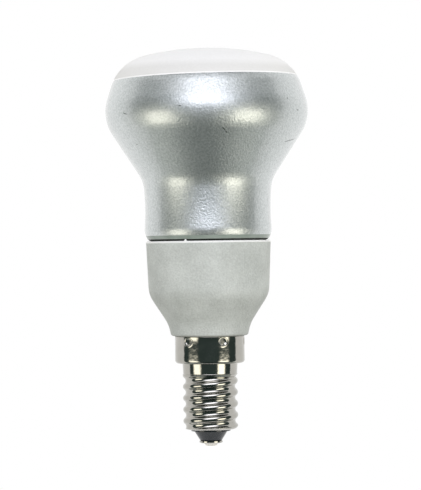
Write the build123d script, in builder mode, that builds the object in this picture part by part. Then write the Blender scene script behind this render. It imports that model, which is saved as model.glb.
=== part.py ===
"""Compact fluorescent reflector bulb of the R50 size, on a small E14 screw cap.

The bulb stands on its cap, with +Z along its axis from the end contact to the opal front.
The origin is the middle of the end contact's flat. All sizes are in millimetres.
"""

import os
from math import asin, atan2, cos, degrees, hypot, radians, sin, tan

from build123d import *

# Rounded thread of the E14 lamp cap
thread_major_diameter = 13.6
thread_depth = 0.68
thread_pitch = 2.822
thread_crest_flat = 0.6
thread_length = 13.6
thread_run_out = 0.9
thread_start_angle = 7.2
tool_over_cut = 0.1

# Screw shell, drawn and rolled from sheet brass
shell_sheet = 0.3
lip_width = 0.9
lip_corner_radius = 1.1
plain_neck_height = 2.7
skirt_step = 1.8
skirt_height = 6.8
skirt_corner_radius = 0.8

# Punch marks that stake the skirt to the housing
stake_count = 6
stake_first_angle = 292
stake_below_rim = 1.4
stake_width = 1.9
stake_depth = 0.4

# Insulator and end contact
insulator_tip_diameter = 5.2
insulator_cone_height = 2.5
insulator_shoulder_height = 0.4
insulator_shoulder_step = 0.7
insulator_flange_height = 2.4
contact_diameter = 5.8
contact_thickness = 0.5
contact_edge_chamfer = 0.2
eyelet_diameter = 1.6
solder_diameter = 3.4
solder_height = 0.8
solder_flat_diameter = 1.4

# Ballast housing, moulded in plastic
housing_foot_step = 0.9
housing_foot_chamfer = 0.5
housing_knee_flare = 0.6
housing_knee_height = 2.9
housing_hollow_radius = 9.0
housing_cone_angle = 33
housing_shoulder_radius = 7.0
housing_wall_draft = 0.55
housing_rim_set_back = 0.2
housing_rim_chamfer = 0.55
housing_height = 23.4

# Blown glass bulb, with its silvered reflector and neck below the opal front
bulb_diameter = 50.0
dome_radius = 66.0
crown_radius = 11.0
side_angle = 18
side_length = 4.0
widest_radius = 8.7
shoulder_angle = 33
neck_hollow_radius = 8.0
neck_diameter = 31.2
neck_length = 9.0
neck_ease_radius = 6.5
neck_ease_angle = 22
neck_edge_radius = 1.5
seat_width = 0.8
collar_length = 6.0

# Clearances between cemented and staked pieces
cement_gap = 0.15
cap_gap = 0.05

# Heights along the axis, from the end contact up
contact_bottom = solder_height
contact_top = contact_bottom + contact_thickness
insulator_shoulder = contact_top + insulator_cone_height
lip_bottom = insulator_shoulder + insulator_shoulder_height
lip_top = lip_bottom + shell_sheet
insulator_top = lip_top + insulator_flange_height
thread_top = lip_bottom + thread_length
skirt_bottom = thread_top + plain_neck_height
skirt_top = skirt_bottom + skirt_height
seam = skirt_top + housing_height

# Radii that several pieces share
bulb_radius = bulb_diameter / 2
neck_radius = neck_diameter / 2
neck_ease_sin = sin(radians(neck_ease_angle))
neck_ease_cos = cos(radians(neck_ease_angle))
neck_ease_inset = neck_ease_radius * (1 - neck_ease_cos) + neck_edge_radius * neck_ease_cos
collar_radius = neck_radius - neck_ease_inset - seat_width
thread_major_radius = thread_major_diameter / 2
thread_minor_radius = thread_major_radius - thread_depth
bore_radius = thread_minor_radius - shell_sheet
neck_bore_radius = thread_major_radius - shell_sheet
lip_opening_radius = bore_radius - lip_width
skirt_radius = thread_major_radius + skirt_step
skirt_bore_radius = skirt_radius - shell_sheet
eyelet_radius = eyelet_diameter / 2

# Round-nosed punch that makes each stake mark
punch_radius = (stake_width**2 / 4 + stake_depth**2) / (2 * stake_depth)
punch_reach = skirt_radius - stake_depth + punch_radius
stake_height = skirt_top - stake_below_rim

os.makedirs("parts", exist_ok=True)

# Glass bulb: one blown envelope whose collar stands in the housing
with BuildPart() as glass_bulb:
    side_sin = sin(radians(side_angle))
    side_cos = cos(radians(side_angle))
    crown_start = bulb_radius - widest_radius * (1 - side_cos) - side_length * side_sin
    dome_sin = (crown_start - crown_radius * side_cos) / (dome_radius - crown_radius)
    dome_sweep = degrees(asin(dome_sin))
    dome_cos = cos(radians(dome_sweep))
    shoulder_sin = sin(radians(shoulder_angle))
    shoulder_cos = cos(radians(shoulder_angle))
    bends = widest_radius + neck_hollow_radius
    shoulder_length = (bulb_radius - neck_radius - bends * (1 - shoulder_cos)) / shoulder_sin
    neck_ease = neck_ease_radius * neck_ease_sin + neck_edge_radius * (1 - neck_ease_sin)
    neck_top = seam + neck_ease + neck_length
    widest = neck_top + bends * shoulder_sin + shoulder_length * shoulder_cos
    crown_rise = widest_radius * side_sin + side_length * side_cos + crown_radius * (dome_cos - side_sin)
    bulb_top = widest + crown_rise + dome_radius * (1 - dome_cos)
    with BuildSketch(Plane.XZ):
        with BuildLine():
            middle = Line((0, seam - collar_length), (0, bulb_top))
            dome = JernArc(middle @ 1, (1, 0), dome_radius, -dome_sweep)
            crown = JernArc(dome @ 1, dome % 1, crown_radius, side_angle + dome_sweep - 90)
            side = PolarLine(crown @ 1, side_length, direction=crown % 1)
            belly = JernArc(side @ 1, side % 1, widest_radius, -side_angle - shoulder_angle)
            shoulder = PolarLine(belly @ 1, shoulder_length, direction=belly % 1)
            hollow = JernArc(shoulder @ 1, shoulder % 1, neck_hollow_radius, shoulder_angle)
            neck = PolarLine(hollow @ 1, neck_length, direction=hollow % 1)
            ease = JernArc(neck @ 1, neck % 1, neck_ease_radius, -neck_ease_angle)
            edge = JernArc(ease @ 1, ease % 1, neck_edge_radius, neck_ease_angle - 90)
            Polyline(edge @ 1, (collar_radius, seam), (collar_radius, seam - collar_length), middle @ 0)
        make_face()
    revolve(axis=Axis.Z)
glass_bulb.part.label = "glass_bulb"
export_step(glass_bulb.part, "parts/glass_bulb.step")

# Ballast housing: a stepped spigot for the cap below, a cup for the glass collar above
with BuildPart() as ballast_housing:
    spigot_radius = skirt_bore_radius - cap_gap
    stem_radius = bore_radius - cap_gap
    stem_bottom = insulator_top + cap_gap
    spigot_bottom = skirt_bottom + shell_sheet + cap_gap
    with BuildSketch(Plane.XZ):
        with BuildLine():
            Polyline(
                (0, stem_bottom),
                (stem_radius, stem_bottom),
                (stem_radius, spigot_bottom),
                (spigot_radius - skirt_corner_radius, spigot_bottom),
                (spigot_radius, spigot_bottom + skirt_corner_radius),
                (spigot_radius, skirt_top),
                (0, skirt_top),
                close=True,
            )
        make_face()
    revolve(axis=Axis.Z)
    with Locations((0, 0, stake_height)):
        with PolarLocations(punch_reach, stake_count, stake_first_angle):
            Sphere(punch_radius + shell_sheet + cap_gap, mode=Mode.SUBTRACT)
    cup_radius = collar_radius + cement_gap
    cup_floor = seam - collar_length - cement_gap
    knee = skirt_top + housing_knee_height
    foot_radius = skirt_radius + housing_foot_step
    knee_radius = foot_radius + housing_knee_flare
    rim_radius = neck_radius - housing_rim_set_back
    shoulder_radius = rim_radius - housing_wall_draft
    cone_top = knee + (shoulder_radius - knee_radius) / tan(radians(housing_cone_angle))
    with BuildSketch(Plane.XZ):
        with BuildLine():
            FilletPolyline(
                (0, skirt_top),
                (foot_radius - housing_foot_chamfer, skirt_top),
                (foot_radius, skirt_top + housing_foot_chamfer),
                (knee_radius, knee),
                (shoulder_radius, cone_top),
                (rim_radius, seam - housing_rim_chamfer),
                (rim_radius - housing_rim_chamfer, seam),
                (cup_radius, seam),
                (cup_radius, cup_floor),
                (0, cup_floor),
                radius=[0, 0, 0, housing_hollow_radius, housing_shoulder_radius, 0, 0, 0, 0, 0],
                close=True,
            )
        make_face()
    revolve(axis=Axis.Z)
ballast_housing.part.label = "ballast_housing"
export_step(ballast_housing.part, "parts/ballast_housing.step")

# Sheet that the punch pushes inwards, cut off half-way through the skirt's wall
with BuildPart() as stake_bumps:
    with Locations((0, 0, stake_height)):
        with PolarLocations(punch_reach, stake_count, stake_first_angle):
            Sphere(punch_radius + shell_sheet)
    Cylinder(
        skirt_radius - shell_sheet / 2,
        skirt_top,
        align=(Align.CENTER, Align.CENTER, Align.MIN),
        mode=Mode.INTERSECT,
    )

# Rolled sleeve: a threaded tube with a turned-in lip, then a plain neck and a skirt
with BuildPart() as rolled_sleeve:
    tube_spare = 2 * thread_pitch
    with BuildSketch(Plane.XZ):
        with BuildLine():
            FilletPolyline(
                (lip_opening_radius, lip_bottom),
                (thread_major_radius, lip_bottom),
                (thread_major_radius, thread_top + tube_spare),
                (bore_radius, thread_top + tube_spare),
                (bore_radius, lip_top),
                (lip_opening_radius, lip_top),
                radius=[0, lip_corner_radius, 0, 0, 0, 0],
                close=True,
            )
        make_face()
    revolve(axis=Axis.Z)
    # Rolled groove: a round root between straight flanks, wound as a right-hand screw. It starts a turn
    # and a quarter below the lip, and ends in the tube's spare length.
    root_radius = (thread_pitch**2 / 4 + thread_depth**2) / (4 * thread_depth)
    groove_half = (thread_pitch - thread_crest_flat) / 2
    root_rise = thread_depth - root_radius
    flank_angle = asin(root_radius / hypot(groove_half, root_rise)) + atan2(root_rise, groove_half)
    tool_edge = thread_major_radius + tool_over_cut
    tool_half = groove_half + tool_over_cut / tan(flank_angle)
    tool_back = thread_major_radius + thread_depth
    groove_start = lip_bottom - 1.25 * thread_pitch
    groove_height = thread_top + thread_pitch / 2 - groove_start
    with BuildLine() as groove_path:
        Helix(thread_pitch, groove_height, thread_minor_radius, center=(0, 0, groove_start))
    with BuildSketch(Plane.XZ.shift_origin((0, 0, groove_start))):
        with BuildLine():
            root = JernArc((thread_minor_radius, 0), (0, 1), root_radius, -degrees(flank_angle))
            Polyline(root @ 1, (tool_edge, tool_half), (tool_back, tool_half), (tool_back, 0))
            mirror(about=Plane.XZ)
        make_face()
    sweep(path=groove_path.line, is_frenet=True, mode=Mode.SUBTRACT)
    # The tube is cut off level at the thread's top
    with Locations((0, 0, thread_top)):
        Cylinder(
            tool_back,
            tube_spare,
            align=(Align.CENTER, Align.CENTER, Align.MIN),
            mode=Mode.SUBTRACT,
        )
    # Plain neck and skirt, which close the groove off at its run-out
    with BuildSketch(Plane.XZ):
        with BuildLine():
            FilletPolyline(
                (bore_radius, thread_top - thread_run_out),
                (thread_minor_radius, thread_top - thread_run_out),
                (thread_major_radius, thread_top),
                (thread_major_radius, skirt_bottom),
                (skirt_radius, skirt_bottom),
                (skirt_radius, skirt_top),
                (skirt_bore_radius, skirt_top),
                (skirt_bore_radius, skirt_bottom + shell_sheet),
                (neck_bore_radius, skirt_bottom + shell_sheet),
                (neck_bore_radius, thread_top),
                (bore_radius, thread_top),
                radius=[0, 0, 0, 0, skirt_corner_radius, 0, 0, 0, 0, 0, 0],
                close=True,
            )
        make_face()
    revolve(axis=Axis.Z)

# Screw shell: the sleeve, turned to where its thread starts and staked to the housing. Each stake
# mark is pressed through the sheet, so that it stands out as a bump inside.
with BuildPart() as screw_shell:
    add(rolled_sleeve.part, rotation=(0, 0, thread_start_angle))
    add(stake_bumps.part)
    with Locations((0, 0, stake_height)):
        with PolarLocations(punch_reach, stake_count, stake_first_angle):
            Sphere(punch_radius, mode=Mode.SUBTRACT)
screw_shell.part.label = "screw_shell"
export_step(screw_shell.part, "parts/screw_shell.step")

# Cap insulator: black glass, flanged behind the lip, shouldered below it and coned to the end contact
with BuildPart() as cap_insulator:
    nose_radius = lip_opening_radius - cap_gap
    with BuildSketch(Plane.XZ):
        with BuildLine():
            Polyline(
                (0, contact_top),
                (insulator_tip_diameter / 2, contact_top),
                (nose_radius - insulator_shoulder_step, insulator_shoulder),
                (nose_radius, insulator_shoulder),
                (nose_radius, lip_top),
                (bore_radius - cap_gap, lip_top),
                (bore_radius - cap_gap, insulator_top),
                (0, insulator_top),
                close=True,
            )
        make_face()
    revolve(axis=Axis.Z)
cap_insulator.part.label = "cap_insulator"
export_step(cap_insulator.part, "parts/cap_insulator.step")

# Contact plate: a brass disc with an eyelet for the lead
with BuildPart() as contact_plate:
    with BuildSketch(Plane.XY.offset(contact_bottom)):
        Circle(contact_diameter / 2)
        Circle(eyelet_radius, mode=Mode.SUBTRACT)
    extrude(amount=contact_thickness)
    chamfer(contact_plate.edges().group_by(Axis.Z)[0].sort_by(SortBy.LENGTH)[-1], contact_edge_chamfer)
contact_plate.part.label = "contact_plate"
export_step(contact_plate.part, "parts/contact_plate.step")

# Contact solder: the blob that fills the eyelet, worn to a small flat at its tip
with BuildPart() as contact_solder:
    with BuildSketch(Plane.XZ):
        with BuildLine():
            flat = Line((0, 0), (solder_flat_diameter / 2, 0))
            blob = TangentArc(flat @ 1, (solder_diameter / 2, contact_bottom), tangent=(1, 0))
            Polyline(
                blob @ 1,
                (eyelet_radius, contact_bottom),
                (eyelet_radius, contact_top),
                (0, contact_top),
                flat @ 0,
            )
        make_face()
    revolve(axis=Axis.Z)
contact_solder.part.label = "contact_solder"
export_step(contact_solder.part, "parts/contact_solder.step")
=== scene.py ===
"""Compact fluorescent reflector bulb with a small screw cap, standing on its end contact."""

from math import asin, atan2, ceil, cos, floor, hypot, pi, radians, sin, sqrt, tan

import bmesh
import bpy
from mathutils import Matrix, Vector


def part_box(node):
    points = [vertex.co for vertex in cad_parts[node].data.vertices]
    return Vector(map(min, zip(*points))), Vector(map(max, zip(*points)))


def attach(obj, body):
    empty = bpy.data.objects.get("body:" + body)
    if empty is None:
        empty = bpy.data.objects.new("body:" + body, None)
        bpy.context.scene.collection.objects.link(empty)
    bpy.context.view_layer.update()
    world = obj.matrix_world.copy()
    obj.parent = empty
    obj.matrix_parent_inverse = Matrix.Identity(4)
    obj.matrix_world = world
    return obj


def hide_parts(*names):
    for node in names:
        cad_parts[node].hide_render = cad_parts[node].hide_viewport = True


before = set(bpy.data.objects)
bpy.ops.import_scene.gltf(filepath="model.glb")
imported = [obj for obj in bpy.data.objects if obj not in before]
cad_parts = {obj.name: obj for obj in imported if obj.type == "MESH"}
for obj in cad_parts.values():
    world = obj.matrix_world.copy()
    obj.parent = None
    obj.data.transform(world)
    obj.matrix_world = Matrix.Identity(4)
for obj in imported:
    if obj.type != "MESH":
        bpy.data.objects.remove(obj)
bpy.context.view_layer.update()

mm = 0.001

# Glass bulb: one blown envelope. Its front is opal, its sides and neck are coated with aluminium
# as a reflector, and the rounded end of its neck, cemented to the housing, is left as bare glass.
glass_low, glass_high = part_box("glass_bulb")
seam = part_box("ballast_housing")[1].z
bulb_radius = glass_high.x
bulb_top = glass_high.z
dome_radius = 66 * mm
crown_radius = 11 * mm
side_slope = radians(18)
side_length = 3.3 * mm
belly_radius = 10.3 * mm
shoulder_slope = radians(33)
hollow_radius = 8 * mm
neck_settle_round = 57 * mm
neck_settle = radians(5)
neck_flare = radians(3.5)
neck_radius = 15.5 * mm
neck_ease_round = 4.6 * mm
neck_ease_turn = radians(28)
neck_end_round = 1.5 * mm
seat_width = 0.8 * mm
opal_edge_height = 90.9 * mm
opal_edge_tilt = radians(1.1)
opal_line_width = 0.3 * mm
coat_end_height = seam + 1.35 * mm
cement_and_shade_height = seam + 0.45 * mm
glass_columns = 256


def outline(start, heading, stretches, step=radians(2)):
    """Points (radius, height) along straight runs (length,) and arcs (radius, turn), joined smoothly."""
    points = [Vector(start)]
    for stretch in stretches:
        if len(stretch) == 1:
            points.append(points[-1] + stretch[0] * Vector((cos(heading), sin(heading))))
            continue
        radius, turn = stretch
        side = pi / 2 if turn > 0 else -pi / 2
        centre = points[-1] + radius * Vector((cos(heading + side), sin(heading + side)))
        count = max(2, ceil(abs(turn) / step))
        for index in range(1, count + 1):
            angle = heading - side + turn * index / count
            points.append(centre + radius * Vector((cos(angle), sin(angle))))
        heading += turn
    return points


def skin(name, rows, closed=False, crease=radians(35)):
    """A mesh object whose rows are rings of points, each as long as the rest or a single point."""
    mesh = bpy.data.meshes.new(name)
    shape = bmesh.new()
    rings = [[shape.verts.new(point) for point in row] for row in rows]
    pairs = list(zip(rings, rings[1:] + rings[:1])) if closed else list(zip(rings, rings[1:]))
    for ring, following in pairs:
        count = max(len(ring), len(following))
        for index in range(count):
            corners = [ring[index % len(ring)], ring[(index + 1) % len(ring)]]
            corners += [following[(index + 1) % len(following)], following[index % len(following)]]
            shape.faces.new(list(dict.fromkeys(corners)))
    bmesh.ops.recalc_face_normals(shape, faces=shape.faces)
    shape.to_mesh(mesh)
    shape.free()
    mesh.shade_smooth()
    mesh.set_sharp_from_angle(angle=crease)
    piece = bpy.data.objects.new(name, mesh)
    bpy.context.scene.collection.objects.link(piece)
    return piece


def turned(points, columns):
    """Rings of a turned body, one for each point (radius, height) of its outline."""
    rows = []
    for radius, height in points:
        angles = [0] if radius < 1e-7 else [2 * pi * index / columns for index in range(columns)]
        rows.append([(radius * cos(angle), radius * sin(angle), height) for angle in angles])
    return rows


side_sin, side_cos = sin(side_slope), cos(side_slope)
crown_reach = bulb_radius - belly_radius * (1 - side_cos) - side_length * side_sin
dome_sweep = asin((crown_reach - crown_radius * side_cos) / (dome_radius - crown_radius))
belly_reach = belly_radius * (1 - cos(shoulder_slope))
hollow_reach = hollow_radius * (cos(neck_settle) - cos(shoulder_slope))
settle_reach = neck_settle_round * (1 - cos(neck_settle))
shoulder_reach = bulb_radius - neck_radius - belly_reach - hollow_reach - settle_reach
glass_points = outline(
    (0, bulb_top),
    0,
    [
        (dome_radius, -dome_sweep),
        (crown_radius, side_slope + dome_sweep - pi / 2),
        (side_length,),
        (belly_radius, -side_slope - shoulder_slope),
        (shoulder_reach / sin(shoulder_slope),),
        (hollow_radius, shoulder_slope - neck_settle),
        (neck_settle_round, neck_settle + neck_flare),
    ],
)
ease_rise = neck_ease_round * (sin(neck_ease_turn) + sin(neck_flare))
ease_top = seam + ease_rise + neck_end_round * (1 - sin(neck_ease_turn))
neck_foot = glass_points[-1]
glass_points += outline(
    (neck_foot.x + (neck_foot.y - ease_top) * tan(neck_flare), ease_top),
    neck_flare - pi / 2,
    [
        (neck_ease_round, -neck_flare - neck_ease_turn),
        (neck_end_round, neck_ease_turn - pi / 2),
        (seat_width,),
    ],
)
collar_radius = glass_points[-1].x
glass_points += [Vector((collar_radius, glass_low.z)), Vector((0, glass_low.z))]
glass_bulb = skin("silvered_bulb", turned(glass_points, glass_columns))

# The coat starts on a plane that leans a little, as its mask sat, and ends on a level one
opal_normal = Vector((-sin(opal_edge_tilt), 0, cos(opal_edge_tilt)))
shape = bmesh.new()
shape.from_mesh(glass_bulb.data)
level = Vector((0, 0, 1))
cuts = [
    (opal_edge_height, opal_normal),
    (opal_edge_height - opal_line_width, opal_normal),
    (coat_end_height, level),
    # below this, the glass end is dark cement with the groove's shade painted in
    (cement_and_shade_height, level),
]
for height, normal in cuts:
    everything = shape.verts[:] + shape.edges[:] + shape.faces[:]
    bmesh.ops.bisect_plane(shape, geom=everything, dist=1e-7, plane_co=(0, 0, height), plane_no=normal)
for face in shape.faces:
    middle = face.calc_center_median()
    below = [(middle - Vector((0, 0, height))).dot(normal) < 0 for height, normal in cuts]
    face.material_index = sum(below)
shape.to_mesh(glass_bulb.data)
shape.free()


def linear(code):
    """The linear colour of an sRGB hex code, opaque."""
    parts = [int(code[index:index + 2], 16) / 255 for index in (1, 3, 5)]
    return [part / 12.92 if part <= 0.04045 else ((part + 0.055) / 1.055) ** 2.4 for part in parts] + [1.0]


def add_node(tree, kind, inputs=None, **settings):
    """Adds a node with its settings, and sets or links its inputs by name or number."""
    node = tree.nodes.new(kind)
    for name, value in settings.items():
        setattr(node, name, value)
    for socket, value in (inputs or {}).items():
        if isinstance(value, bpy.types.NodeSocket):
            tree.links.new(value, node.inputs[socket])
        else:
            node.inputs[socket].default_value = value
    return node


def new_material(name):
    """An empty node material and its tree."""
    material = bpy.data.materials.new(name)
    material.use_nodes = True
    material.node_tree.nodes.clear()
    return material, material.node_tree


def shade(tree, inputs):
    """Ends a material in one surface shader with these inputs."""
    shader = add_node(tree, "ShaderNodeBsdfPrincipled", inputs)
    add_node(tree, "ShaderNodeOutputMaterial", {"Surface": shader.outputs["BSDF"]})


# Opal glass: blown, with white powder fired inside, so it is milky and faintly grained. Its colour is
# painted paler over the front and greyer towards the coat line, as painted shade.
opal_glass, tree = new_material("opal_glass")
place = add_node(tree, "ShaderNodeTexCoord").outputs["Object"]
opal_grain = 0.6 * mm
opal_shade_darkest_height = 92.6 * mm
opal_shade_palest_height = 94.2 * mm
grain = add_node(tree, "ShaderNodeTexNoise", {"Vector": place, "Scale": 1 / opal_grain, "Detail": 3.0})
height = add_node(tree, "ShaderNodeSeparateXYZ", {0: place}).outputs["Z"]
# Painted shade: the opal grows greyer downwards, from its palest height to its darkest one
opal_painted_shade = add_node(
    tree,
    "ShaderNodeMapRange",
    {"Value": height, "From Min": opal_shade_darkest_height, "From Max": opal_shade_palest_height},
)
speckle = add_node(
    tree, "ShaderNodeMapRange", {"Value": grain.outputs["Fac"], "To Min": -0.3, "To Max": 0.3}
)
shade_and_grain = add_node(
    tree, "ShaderNodeMath", {0: opal_painted_shade.outputs["Result"], 1: speckle.outputs["Result"]}, operation="ADD"
)
tint = add_node(
    tree,
    "ShaderNodeMix",
    {0: shade_and_grain.outputs[0], 6: linear("#DDDDDA"), 7: linear("#EBEBE9")},
    data_type="RGBA",
    clamp_factor=False,
)
shade(tree, {"Base Color": tint.outputs[2], "Roughness": 0.5, "IOR": 1.5})

# Edge of the opal: the coat stops short here. The light that the glass passes along to it is a painted
# highlight, a thin bright line in its colour
opal_line, tree = new_material("opal_glass_edge_highlight")
place = add_node(tree, "ShaderNodeTexCoord").outputs["Object"]
edge_grain = 1.5 * mm
grain = add_node(tree, "ShaderNodeTexNoise", {"Vector": place, "Scale": 1 / edge_grain, "Detail": 2.0})
tint = add_node(
    tree,
    "ShaderNodeMix",
    {0: grain.outputs["Fac"], 6: linear("#F1F1EF"), 7: linear("#FDFDFC")},
    data_type="RGBA",
)
shade(tree, {"Base Color": tint.outputs[2], "Roughness": 0.3, "IOR": 1.5})

# Aluminium coat: evaporated on blown glass under clear lacquer, so it is satin with a fine pearly
# grain. The grain is drawn coarser than the real one, so that it shows.
silver_coat, tree = new_material("evaporated_aluminium")
place = add_node(tree, "ShaderNodeTexCoord").outputs["Object"]
pearl_grain = 0.45 * mm
pearl_relief = 0.08 * mm
cloud_size = 9 * mm
grain = add_node(tree, "ShaderNodeTexNoise", {"Vector": place, "Scale": 1 / pearl_grain, "Detail": 2.0})
clouds = add_node(tree, "ShaderNodeTexNoise", {"Vector": place, "Scale": 1 / cloud_size, "Detail": 2.0})
pearl = add_node(
    tree, "ShaderNodeMapRange", {"Value": grain.outputs["Fac"], "From Min": 0.3, "From Max": 0.7}
)
tint = add_node(
    tree,
    "ShaderNodeMix",
    {0: pearl.outputs["Result"], 6: linear("#BEC4C3"), 7: linear("#E0E4E4")},
    data_type="RGBA",
)

# Scuffs from handling, which bare the darker glass: each has its turn from the front, height, length
# and slant, in degrees and millimetres
scuff_width = 0.3 * mm
scuff_depth = 0.8 * mm
scuffs = [
    (62, 82.0, 1.5, 0),
    (67, 74.8, 7.8, 9),
    (11.6, 76.5, 0.8, -45),
    (10, 77.2, 1.6, -45),
    (-52, 81.5, 1.9, -16),
    (-14.5, 82.7, 0.9, 0),
    (52, 84.7, 0.5, 0),
    (-52, 74.1, 0.5, 0),
]
nearest = 2.0
for turn, height, length, slant in scuffs:
    turn = radians(turn)
    height = height * mm
    runs = zip(glass_points[1:], glass_points)
    below, above = next((low, high) for low, high in runs if low.y <= height <= high.y)
    radius = below.lerp(above, (height - below.y) / (above.y - below.y)).x
    inside = add_node(
        tree,
        "ShaderNodeMapping",
        {
            "Vector": place,
            "Location": (radius * sin(turn), -radius * cos(turn), height),
            "Rotation": (0, -radians(slant), turn),
            "Scale": (length / 2 * mm, scuff_depth, scuff_width / 2),
        },
        vector_type="TEXTURE",
    )
    away = add_node(tree, "ShaderNodeVectorMath", {0: inside.outputs[0]}, operation="LENGTH")
    closer = add_node(tree, "ShaderNodeMath", {0: nearest, 1: away.outputs["Value"]}, operation="MINIMUM")
    nearest = closer.outputs[0]
scuffed = add_node(tree, "ShaderNodeMapRange", {"Value": nearest, "From Min": 1.0, "From Max": 0.6})
tint = add_node(
    tree,
    "ShaderNodeMix",
    {0: scuffed.outputs["Result"], 6: tint.outputs[2], 7: linear("#5C6461")},
    data_type="RGBA",
)
gloss = add_node(
    tree, "ShaderNodeMapRange", {"Value": clouds.outputs["Fac"], "To Min": 0.38, "To Max": 0.46}
)
relief = add_node(
    tree, "ShaderNodeBump", {"Height": grain.outputs["Fac"], "Strength": 1.0, "Distance": pearl_relief}
)
shade(
    tree,
    {
        "Base Color": tint.outputs[2],
        "Metallic": 0.92,
        "Roughness": gloss.outputs["Result"],
        "Coat Weight": 1.0,
        "Coat Roughness": 0.1,
        "Coat IOR": 1.5,
        "Normal": relief.outputs["Normal"],
    },
)

# Bare glass: the fire-rounded end of the neck, faintly green from its thickness
bare_glass, tree = new_material("bare_soda_glass")
place = add_node(tree, "ShaderNodeTexCoord").outputs["Object"]
streak_size = 2.5 * mm
streaks = add_node(tree, "ShaderNodeTexNoise", {"Vector": place, "Scale": 1 / streak_size, "Detail": 3.0})
tint = add_node(
    tree,
    "ShaderNodeMix",
    {0: streaks.outputs["Fac"], 6: linear("#808D84"), 7: linear("#A3AEA6")},
    data_type="RGBA",
)
shade(tree, {"Base Color": tint.outputs[2], "Roughness": 0.18, "IOR": 1.52})

# Basing cement and painted shade: dark resin and powder drawn up around the glass end, dull and
# crumbly. Its dark band also stands for the shade in the groove between the glass and the housing.
cement_and_painted_shade, tree = new_material("cement_and_painted_shade")
place = add_node(tree, "ShaderNodeTexCoord").outputs["Object"]
crumb_size = 0.3 * mm
crumbs = add_node(tree, "ShaderNodeTexNoise", {"Vector": place, "Scale": 1 / crumb_size, "Detail": 2.0})
tint = add_node(
    tree,
    "ShaderNodeMix",
    {0: crumbs.outputs["Fac"], 6: linear("#161B17"), 7: linear("#272D27")},
    data_type="RGBA",
)
shade(tree, {"Base Color": tint.outputs[2], "Roughness": 0.75, "IOR": 1.5})

for material in (opal_glass, opal_line, silver_coat, bare_glass, cement_and_painted_shade):
    glass_bulb.data.materials.append(material)
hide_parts("glass_bulb")
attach(glass_bulb, "root")

# Ballast housing: moulded in pale grey plastic as one cup, in which the glass neck is cemented, with
# a spigot below that the cap is staked to. Its face is fine and matt.
rim_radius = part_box("ballast_housing")[1].x
cap_low, cap_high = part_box("screw_shell")
skirt_radius, skirt_top = cap_high.x, cap_high.z
foot_radius = skirt_radius + 0.9 * mm
foot_round = 0.7 * mm
knee_radius = foot_radius + 0.6 * mm
knee_height = skirt_top + 2.9 * mm
knee_hollow = 9 * mm
cone_slope = radians(33)
wall_draft = 0.55 * mm
housing_shoulder_round = 7 * mm
rim_round = 0.55 * mm
cement_gap = 0.15 * mm
housing_columns = 192


def rounded(corners, step=radians(3)):
    """Points along a run of corners (radius, height, rounding), with an arc at each rounded one."""
    points = []
    for index, (radius, height, rounding) in enumerate(corners):
        corner = Vector((radius, height))
        if not rounding:
            points.append(corner)
            continue
        back = (Vector(corners[index - 1][:2]) - corner).normalized()
        ahead = (Vector(corners[(index + 1) % len(corners)][:2]) - corner).normalized()
        half_angle = back.angle(ahead) / 2
        centre = corner + (back + ahead).normalized() * rounding / sin(half_angle)
        first = corner + back * rounding / tan(half_angle) - centre
        sweep = first.angle_signed(corner + ahead * rounding / tan(half_angle) - centre)
        count = max(2, ceil(abs(sweep) / step))
        for part in range(count + 1):
            angle = atan2(first.y, first.x) - sweep * part / count
            points.append(centre + rounding * Vector((cos(angle), sin(angle))))
    return points


wall_radius = rim_radius - wall_draft
wall_bottom = knee_height + (wall_radius - knee_radius) / tan(cone_slope)
cup_radius = collar_radius + cement_gap
cup_floor = glass_low.z - cement_gap
spigot_radius = skirt_radius - 0.35 * mm
spigot_bottom = skirt_top - 6.4 * mm
housing_points = rounded(
    [
        (0, spigot_bottom, 0),
        (spigot_radius, spigot_bottom, 0),
        (spigot_radius, skirt_top, 0),
        (foot_radius, skirt_top, foot_round),
        (knee_radius, knee_height, knee_hollow),
        (wall_radius, wall_bottom, housing_shoulder_round),
        (rim_radius, seam, rim_round),
        (cup_radius, seam, 0),
        (cup_radius, cup_floor, 0),
        (0, cup_floor, 0),
    ]
)
housing = skin("moulded_housing", turned(housing_points, housing_columns))

# PBT plastic: moulded in a spark-eroded tool, so it is matt with a fine even grain. The grain is
# drawn coarser than the tool's, so that it shows.
moulded_pbt, tree = new_material("moulded_pbt")
place = add_node(tree, "ShaderNodeTexCoord").outputs["Object"]
tool_grain = 0.45 * mm
tool_relief = 0.1 * mm
flow_size = 6 * mm
grain = add_node(tree, "ShaderNodeTexNoise", {"Vector": place, "Scale": 1 / tool_grain, "Detail": 2.0})
flow = add_node(tree, "ShaderNodeTexNoise", {"Vector": place, "Scale": 1 / flow_size, "Detail": 2.0})
clouded = add_node(
    tree, "ShaderNodeMath", {0: grain.outputs["Fac"], 1: flow.outputs["Fac"]}, operation="ADD"
)
speckle = add_node(
    tree, "ShaderNodeMapRange", {"Value": clouded.outputs[0], "From Min": 0.7, "From Max": 1.3}
)
tint = add_node(
    tree,
    "ShaderNodeMix",
    {0: speckle.outputs["Result"], 6: linear("#B2B7B2"), 7: linear("#CCD1CC")},
    data_type="RGBA",
)
# Painted highlight: the rim's rounded top edge is painted paler, for the light it catches there
height = add_node(tree, "ShaderNodeSeparateXYZ", {0: place}).outputs["Z"]
rim = add_node(
    tree,
    "ShaderNodeMapRange",
    {"Value": height, "From Min": seam - rim_round, "From Max": seam - 0.7 * rim_round},
)
tint = add_node(
    tree,
    "ShaderNodeMix",
    {0: rim.outputs["Result"], 6: tint.outputs[2], 7: linear("#F4F5F2")},
    data_type="RGBA",
)
relief = add_node(
    tree, "ShaderNodeBump", {"Height": grain.outputs["Fac"], "Strength": 1.0, "Distance": tool_relief}
)
shade(
    tree,
    {"Base Color": tint.outputs[2], "Roughness": 0.5, "IOR": 1.55, "Normal": relief.outputs["Normal"]},
)
housing.data.materials.append(moulded_pbt)
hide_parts("ballast_housing")
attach(housing, "root")

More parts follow.
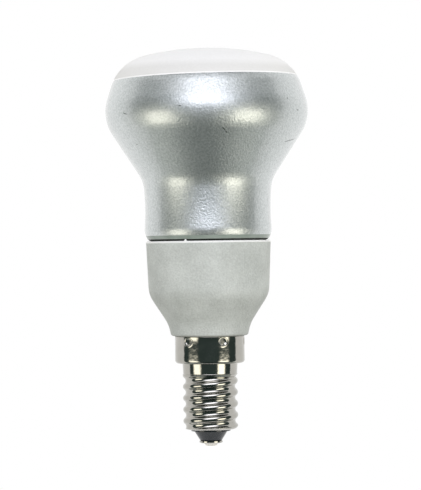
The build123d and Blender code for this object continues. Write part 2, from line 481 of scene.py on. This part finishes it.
# Gate nub: the small vestige on the housing's rim where the plastic was let into the mould, left
# standing when the sprue was twisted off. It is of one piece with the housing.
nub_turn = radians(-21.4)
nub_radius = rim_radius - 0.35 * mm
nub_half_width = 0.3 * mm
nub_half_height = 0.42 * mm
nub_rises = [radians(angle) for angle in range(90, -91, -15)]
nub_points = [(nub_half_width * cos(rise), seam + nub_half_height * sin(rise)) for rise in nub_rises]
nub_columns = 24
nub = skin("gate_nub", turned(nub_points, nub_columns))
nub.data.transform(Matrix.Translation((nub_radius * sin(nub_turn), -nub_radius * cos(nub_turn), 0)))
nub.data.materials.append(moulded_pbt)
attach(nub, "root")

# Screw shell: drawn from sheet brass, rolled with a round right-hand thread, nickel plated, and
# staked to the housing's spigot by six punch marks, each in a low burr. Its lip turns in over the
# insulator, and its skirt has a slight waist and a rolled edge.
lip_bottom = cap_low.z
thread_radius = 6.8 * mm
thread_depth = 0.68 * mm
thread_pitch = 2.822 * mm
thread_top = lip_bottom + 13.6 * mm
thread_run_out = 0.9 * mm
thread_lead_in = 1.27 * thread_pitch
lip_opening = 4.92 * mm
lip_round = 1.1 * mm
skirt_bottom = skirt_top - 6.8 * mm
skirt_round = 0.8 * mm
sheet = 0.3 * mm
neck_waist = 0.14 * mm
skirt_waist = 0.11 * mm
rim_roll = 0.2 * mm
stake_count = 6
stake_first_angle = radians(292)
stake_height = skirt_top - 1.4 * mm
stake_width = 1.9 * mm
stake_depth = 0.4 * mm
burr_width = 0.3 * mm
burr_height = 0.04 * mm
shell_columns = 320
fine_row = 0.1 * mm


def threaded_radius(angle, height):
    """Radius of a rolled thread whose crests and roots are equal arcs, joined at their ends."""
    arc = (thread_pitch**2 / 4 + thread_depth**2) / (4 * thread_depth)
    turns = (height - lip_bottom + thread_lead_in) / thread_pitch - angle / (2 * pi)
    across = abs(turns - floor(turns + 0.5)) * thread_pitch
    if across <= thread_pitch / 4:
        return thread_radius - thread_depth + arc - sqrt(arc**2 - across**2)
    return thread_radius - arc + sqrt(arc**2 - (thread_pitch / 2 - across) ** 2)


def staked_radius(angle, height):
    """Radius of the skirt with round-nosed punch marks pressed into it and a burr around each."""
    punch = (stake_width**2 / 4 + stake_depth**2) / (2 * stake_depth)
    spacing = 2 * pi / stake_count
    turn = (angle - stake_first_angle + spacing / 2) % spacing - spacing / 2
    away = hypot(turn * skirt_radius, height - stake_height)
    if away >= stake_width / 2 + burr_width:
        return skirt_radius
    if away >= stake_width / 2:
        return skirt_radius + burr_height * sin(pi * (away - stake_width / 2) / burr_width)
    return skirt_radius - stake_depth + punch - sqrt(punch**2 - away**2)


def shell_radius(angle, radius, height):
    """Radius of the shell's outside, from that of its plain outline.

    The thread runs out at its top, and the skirt's waist grows slowly upwards and flares out again.
    """
    if height < thread_top and radius > thread_radius - thread_depth:
        run_out = (height - thread_top) / thread_run_out + 1
        floor_radius = thread_radius - thread_depth * (1 - max(0, run_out))
        return max(floor_radius, min(radius, threaded_radius(angle, height)))
    if radius > skirt_radius - 1e-7:
        rise = (height - skirt_bottom - skirt_round) / (skirt_top - rim_roll - skirt_bottom - skirt_round)
        rise = min(1, max(0, rise))
        return staked_radius(angle, height) - skirt_waist * rise**2 * (1 - rise**6)
    return radius


def divided(points, longest):
    """The same outline with its straight runs divided into short steps."""
    result = [points[0]]
    for start, end in zip(points, points[1:]):
        count = max(1, ceil((Vector(end) - Vector(start)).length / longest))
        result += [Vector(start).lerp(Vector(end), part / count) for part in range(1, count + 1)]
    return result


outside = rounded(
    [
        (lip_opening, lip_bottom, 0),
        (thread_radius, lip_bottom, lip_round),
        (thread_radius, thread_top, 0),
        (thread_radius - neck_waist, thread_top, 0),
        (thread_radius, skirt_bottom, 0),
        (skirt_radius, skirt_bottom, skirt_round),
        (skirt_radius, skirt_top, rim_roll),
        (skirt_radius - sheet, skirt_top, 0),
    ],
    step=radians(8),
)
inside = [
    (skirt_radius - sheet, skirt_bottom + sheet),
    (thread_radius - sheet, skirt_bottom + sheet),
    (thread_radius - sheet, thread_top),
    (thread_radius - thread_depth - sheet, thread_top),
    (thread_radius - thread_depth - sheet, lip_bottom + sheet),
    (lip_opening, lip_bottom + sheet),
]
angles = [2 * pi * column / shell_columns for column in range(shell_columns)]
shell_rows = []
for radius, height in divided(outside, fine_row):
    radii = [shell_radius(angle, radius, height) for angle in angles]
    shell_rows.append([(r * cos(a), r * sin(a), height) for r, a in zip(radii, angles)])
shell_rows += turned(inside, shell_columns)
shell = skin("rolled_screw_shell", shell_rows, closed=True, crease=radians(60))

# Nickel plate: bright over drawn brass, so it mirrors the room, with a faint waviness and handling haze
nickel_plate, tree = new_material("nickel_plated_brass")
place = add_node(tree, "ShaderNodeTexCoord").outputs["Object"]
haze_size = 2.5 * mm
haze = add_node(tree, "ShaderNodeTexNoise", {"Vector": place, "Scale": 1 / haze_size, "Detail": 3.0})
gloss = add_node(
    tree, "ShaderNodeMapRange", {"Value": haze.outputs["Fac"], "To Min": 0.06, "To Max": 0.15}
)
tint = add_node(
    tree,
    "ShaderNodeMix",
    {0: haze.outputs["Fac"], 6: linear("#A6A49D"), 7: linear("#B9B7B0")},
    data_type="RGBA",
)
wave_size = 0.9 * mm
wave_relief = 0.04 * mm
waves = add_node(tree, "ShaderNodeTexNoise", {"Vector": place, "Scale": 1 / wave_size, "Detail": 3.0})
relief = add_node(
    tree, "ShaderNodeBump", {"Height": waves.outputs["Fac"], "Strength": 0.4, "Distance": wave_relief}
)
shade(
    tree,
    {
        "Base Color": tint.outputs[2],
        "Metallic": 1.0,
        "Roughness": gloss.outputs["Result"],
        "Normal": relief.outputs["Normal"],
    },
)
shell.data.materials.append(nickel_plate)
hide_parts("screw_shell")
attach(shell, "root")

# Cap insulator: pressed black glass, fused into the shell behind its lip and coned down to the
# end contact. Its small edges are fire-rounded.
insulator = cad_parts["cap_insulator"]

# Black glass: pressed and fire-polished, blue-black and glossy with a slight ripple
black_glass, tree = new_material("black_pressed_glass")
place = add_node(tree, "ShaderNodeTexCoord").outputs["Object"]
ripple_size = 1.2 * mm
ripple_relief = 0.05 * mm
ripple = add_node(tree, "ShaderNodeTexNoise", {"Vector": place, "Scale": 1 / ripple_size, "Detail": 2.0})
tint = add_node(
    tree,
    "ShaderNodeMix",
    {0: ripple.outputs["Fac"], 6: linear("#171C1F"), 7: linear("#232A2E")},
    data_type="RGBA",
)
relief = add_node(
    tree, "ShaderNodeBump", {"Height": ripple.outputs["Fac"], "Strength": 0.2, "Distance": ripple_relief}
)
shade(
    tree,
    {"Base Color": tint.outputs[2], "Roughness": 0.16, "IOR": 1.52, "Normal": relief.outputs["Normal"]},
)
insulator.data.materials.clear()
insulator.data.materials.append(black_glass)

# End contact: a stamped brass disc with an eyelet, plated like the shell, that lies on the
# insulator's tip and is held there by the solder.
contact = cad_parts["contact_plate"]
contact.data.materials.clear()
contact.data.materials.append(nickel_plate)

# Contact solder: the lead comes through the disc's eyelet and is closed with soft solder, which
# sets as a bright blob with a small flat at its tip.
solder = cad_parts["contact_solder"]

# Soft solder: tin set in air, so it is a pale satin metal with a little dross
soft_solder, tree = new_material("soft_solder")
place = add_node(tree, "ShaderNodeTexCoord").outputs["Object"]
dross_size = 0.6 * mm
dross_relief = 0.08 * mm
dross = add_node(tree, "ShaderNodeTexNoise", {"Vector": place, "Scale": 1 / dross_size, "Detail": 3.0})
gloss = add_node(
    tree, "ShaderNodeMapRange", {"Value": dross.outputs["Fac"], "To Min": 0.2, "To Max": 0.4}
)
relief = add_node(
    tree, "ShaderNodeBump", {"Height": dross.outputs["Fac"], "Strength": 0.4, "Distance": dross_relief}
)
shade(
    tree,
    {
        "Base Color": linear("#CFCDC6"),
        "Metallic": 1.0,
        "Roughness": gloss.outputs["Result"],
        "Normal": relief.outputs["Normal"],
    },
)
solder.data.materials.clear()
solder.data.materials.append(soft_solder)

# Floor: a small round board of white card, laid loose under the end contact. It takes the bulb's
# shadow, and it grows as white as the background towards its edge, so that it fades into it.
floor_radius = 9 * mm
floor_shaded_radius = 4 * mm
floor_fill = 0.65
floor_columns = 96
floor_board = skin("floor_board", turned([(0, 0), (floor_radius, 0)], floor_columns))

# White card: matt and even, lifted by the light that comes through it
board_paint, tree = new_material("white_card")
place = add_node(tree, "ShaderNodeTexCoord").outputs["Object"]
away = add_node(tree, "ShaderNodeVectorMath", {0: place}, operation="LENGTH").outputs["Value"]
fade = add_node(
    tree,
    "ShaderNodeMapRange",
    {"Value": away, "From Min": floor_shaded_radius, "From Max": floor_radius},
    interpolation_type="SMOOTHSTEP",
)
ray = add_node(tree, "ShaderNodeLightPath")
seen = add_node(
    tree,
    "ShaderNodeMath",
    {0: ray.outputs["Is Camera Ray"], 1: ray.outputs["Is Glossy Ray"]},
    operation="MAXIMUM",
)
seen = add_node(
    tree,
    "ShaderNodeMath",
    {0: seen.outputs[0], 1: ray.outputs["Is Transmission Ray"]},
    operation="MAXIMUM",
)
fill = add_node(tree, "ShaderNodeMath", {0: seen.outputs[0], 1: floor_fill}, operation="MULTIPLY")
paint = add_node(tree, "ShaderNodeBsdfDiffuse", {"Color": linear("#E7E7E7")})
glow = add_node(tree, "ShaderNodeEmission", {"Color": linear("#FFFFFF"), "Strength": fill.outputs[0]})
both = add_node(tree, "ShaderNodeAddShader", {0: paint.outputs[0], 1: glow.outputs[0]})
plain = add_node(tree, "ShaderNodeEmission", {"Color": linear("#FFFFFF"), "Strength": seen.outputs[0]})
board = add_node(
    tree, "ShaderNodeMixShader", {0: fade.outputs["Result"], 1: both.outputs[0], 2: plain.outputs[0]}
)
add_node(tree, "ShaderNodeOutputMaterial", {"Surface": board.outputs[0]})
floor_board.data.materials.append(board_paint)

# Dark side of the studio: the unlit part of the room behind the camera, hung with a curtain, a dark
# roof overhead, and a ground that is dark towards the camera and paler to the sides. All are plain
# cloth, and only reflections see them.
studio_radius = 1.6
studio_reach = radians(95)
studio_rise = radians(38)
studio_columns = 40
studio_rows = 24
ground_radius = 0.75
ground_drop = 0.6
ground_dark_turn = radians(28)
ground_pale_turn = radians(85)
roof_radius = 0.95
roof_height = 1.2
disc_columns = 64
shape = bmesh.new()
rings = []
for row in range(studio_rows + 1):
    rise = -pi / 2 + (pi / 2 + studio_rise) * row / studio_rows
    turns = [studio_reach * (2 * column / studio_columns - 1) for column in range(studio_columns + 1)]
    points = [Vector((cos(rise) * sin(turn), -cos(rise) * cos(turn), sin(rise))) for turn in turns]
    rings.append([shape.verts.new(point * studio_radius) for point in points])
for ring, following in zip(rings, rings[1:]):
    for column in range(studio_columns):
        shape.faces.new([ring[column], ring[column + 1], following[column + 1], following[column]])
curtain_mesh = bpy.data.meshes.new("studio_curtain")
shape.to_mesh(curtain_mesh)
shape.free()
studio_curtain = bpy.data.objects.new("studio_curtain", curtain_mesh)
bpy.context.scene.collection.objects.link(studio_curtain)
ground_points = [(0, -ground_drop), (ground_radius, -ground_drop)]
studio_ground = skin("studio_ground", turned(ground_points, disc_columns))
roof_points = [(0, roof_height), (roof_radius, roof_height)]
studio_roof = skin("studio_roof", turned(roof_points, disc_columns))

# Cloth: matt and dimly lit, so it is one dark tone, or two where its sides catch light
for piece, middle, sides in (
    (studio_curtain, "#3E4B49", "#3E4B49"),
    (studio_ground, "#2F3A38", "#A9AFAC"),
    (studio_roof, "#262B29", "#262B29"),
):
    cloth, tree = new_material(piece.name + "_cloth")
    place = add_node(tree, "ShaderNodeTexCoord").outputs["Object"]
    place = add_node(tree, "ShaderNodeSeparateXYZ", {0: place})
    aside = add_node(tree, "ShaderNodeMath", {0: place.outputs[0]}, operation="ABSOLUTE")
    ahead = add_node(tree, "ShaderNodeMath", {0: place.outputs[1], 1: -1.0}, operation="MULTIPLY")
    turn = add_node(
        tree, "ShaderNodeMath", {0: aside.outputs[0], 1: ahead.outputs[0]}, operation="ARCTAN2"
    )
    reach = add_node(
        tree,
        "ShaderNodeMapRange",
        {"Value": turn.outputs[0], "From Min": ground_dark_turn, "From Max": ground_pale_turn},
        interpolation_type="SMOOTHSTEP",
    )
    tint = add_node(
        tree,
        "ShaderNodeMix",
        {0: reach.outputs[0], 6: linear(middle), 7: linear(sides)},
        data_type="RGBA",
    )
    glow = add_node(tree, "ShaderNodeEmission", {"Color": tint.outputs[2]})
    add_node(tree, "ShaderNodeOutputMaterial", {"Surface": glow.outputs[0]})
    piece.data.materials.append(cloth)
    piece.visible_camera = False
    piece.visible_diffuse = False
    piece.visible_shadow = False

# World: white behind the bulb for the eye and for reflections, and soft and lower as a light, with
# more of it from above than from below.
bpy.context.scene.view_settings.view_transform = "Standard"
world = bpy.data.worlds.new("white_studio")
bpy.context.scene.world = world
world.use_nodes = True
world.node_tree.nodes.clear()
tree = world.node_tree
soft_below = 0.18
soft_above = 0.52
ray = add_node(tree, "ShaderNodeLightPath")
seen = add_node(
    tree,
    "ShaderNodeMath",
    {0: ray.outputs["Is Camera Ray"], 1: ray.outputs["Is Glossy Ray"]},
    operation="MAXIMUM",
)
seen = add_node(
    tree,
    "ShaderNodeMath",
    {0: seen.outputs[0], 1: ray.outputs["Is Transmission Ray"]},
    operation="MAXIMUM",
)
place = add_node(tree, "ShaderNodeTexCoord").outputs["Generated"]
rise = add_node(tree, "ShaderNodeSeparateXYZ", {0: place}).outputs["Z"]
soft = add_node(
    tree,
    "ShaderNodeMapRange",
    {"Value": rise, "From Min": -1.0, "To Min": soft_below, "To Max": soft_above},
)
level = add_node(
    tree,
    "ShaderNodeMapRange",
    {"Value": seen.outputs[0], "To Min": soft.outputs["Result"], "To Max": 1.0},
)
sky = add_node(
    tree, "ShaderNodeBackground", {"Color": linear("#FFFFFF"), "Strength": level.outputs["Result"]}
)
add_node(tree, "ShaderNodeOutputWorld", {"Surface": sky.outputs[0]})

# Lamps: two warm softboxes low on either side of the camera and a cool window above it, which glass
# and cap mirror, and a ceiling, two side fills and a back fill, which only light what is matt.
eye_height = 49.6 * mm
least_fade = 0.001


def softbox(name, azimuth, elevation, distance, width, height, radiance, colour, side_fade=0, top_fade=0):
    """An area lamp of that radiance, aimed at the bulb's middle; azimuth turns from the camera to +X.

    Its brightness fades to its sides and its top over these shares of its half width and its height.
    """
    lamp = bpy.data.lights.new(name, "AREA")
    lamp.shape = "RECTANGLE"
    lamp.size, lamp.size_y = width, height
    lamp.energy = radiance * pi * width * height
    lamp.color = linear(colour)[:3]
    holder = bpy.data.objects.new(name, lamp)
    away = Vector((sin(azimuth) * cos(elevation), -cos(azimuth) * cos(elevation), sin(elevation)))
    holder.location = Vector((0, 0, eye_height)) + distance * away
    holder.rotation_euler = away.to_track_quat("Z", "Y").to_euler()
    holder.visible_camera = False
    lamp.use_nodes = True
    tree = lamp.node_tree
    tree.nodes.clear()
    place = add_node(tree, "ShaderNodeNewGeometry").outputs["Parametric"]
    place = add_node(tree, "ShaderNodeSeparateXYZ", {0: place})
    aside = add_node(tree, "ShaderNodeMath", {0: place.outputs[0], 1: 0.5}, operation="SUBTRACT")
    aside = add_node(tree, "ShaderNodeMath", {0: aside.outputs[0]}, operation="ABSOLUTE")
    across = add_node(
        tree,
        "ShaderNodeMapRange",
        {"Value": aside.outputs[0], "From Min": 0.5, "From Max": 0.5 - least_fade - 0.5 * side_fade},
        interpolation_type="SMOOTHSTEP",
    )
    upward = add_node(
        tree,
        "ShaderNodeMapRange",
        {"Value": place.outputs[1], "From Min": 1.0, "From Max": 1.0 - least_fade - top_fade},
        interpolation_type="SMOOTHSTEP",
    )
    both = add_node(
        tree, "ShaderNodeMath", {0: across.outputs[0], 1: upward.outputs[0]}, operation="MULTIPLY"
    )
    glow = add_node(tree, "ShaderNodeEmission", {"Strength": both.outputs[0]})
    add_node(tree, "ShaderNodeOutputLight", {"Surface": glow.outputs[0]})
    bpy.context.scene.collection.objects.link(holder)
    return holder


softbox("warm_lamp_left", radians(-57), radians(-18.5), 0.9, 0.66, 0.5, 2.65, "#FFFAEA", 0.5, 0.15)
softbox("warm_lamp_right", radians(49), radians(-18.5), 0.9, 0.68, 0.5, 3.15, "#FFFAEA", 0.5, 0.15)
softbox("cool_window", 0, radians(29), 1.0, 1.5, 0.76, 3.3, "#F4F4FF", 0.7, 0.4)
ceiling = softbox("ceiling", 0, radians(90), 1.1, 1.5, 1.5, 0.75, "#FFFFFF")
fill_left = softbox("fill_left", radians(-100), radians(5), 1.1, 1.2, 1.4, 0.2, "#FFFFFF")
fill_right = softbox("fill_right", radians(100), radians(5), 1.1, 1.2, 1.4, 0.4, "#FFFFFF")
back_fill = softbox("back_fill", pi, radians(10), 1.1, 1.6, 1.4, 1.1, "#FFFFFF")
for lamp in (ceiling, fill_left, fill_right, back_fill):
    lamp.visible_glossy = False

# Camera: level with the seam and far enough for a flat view, a little aside and leaning a little, as
# the photograph was taken.
frame_height = 490
millimetres_per_pixel = 0.2469
view_distance = 0.6
view_aside = 0.52 * mm
view_lean = radians(0.8)
camera_data = bpy.data.cameras.new("portrait")
camera_data.sensor_fit = "VERTICAL"
camera_data.sensor_height = 24
view_height = frame_height * millimetres_per_pixel * mm
camera_data.lens = camera_data.sensor_height * view_distance / view_height
camera = bpy.data.objects.new("portrait", camera_data)
camera.location = (view_aside, -view_distance, eye_height)
camera.rotation_euler = (pi / 2, view_lean, 0)
bpy.context.scene.collection.objects.link(camera)
bpy.context.scene.camera = camera
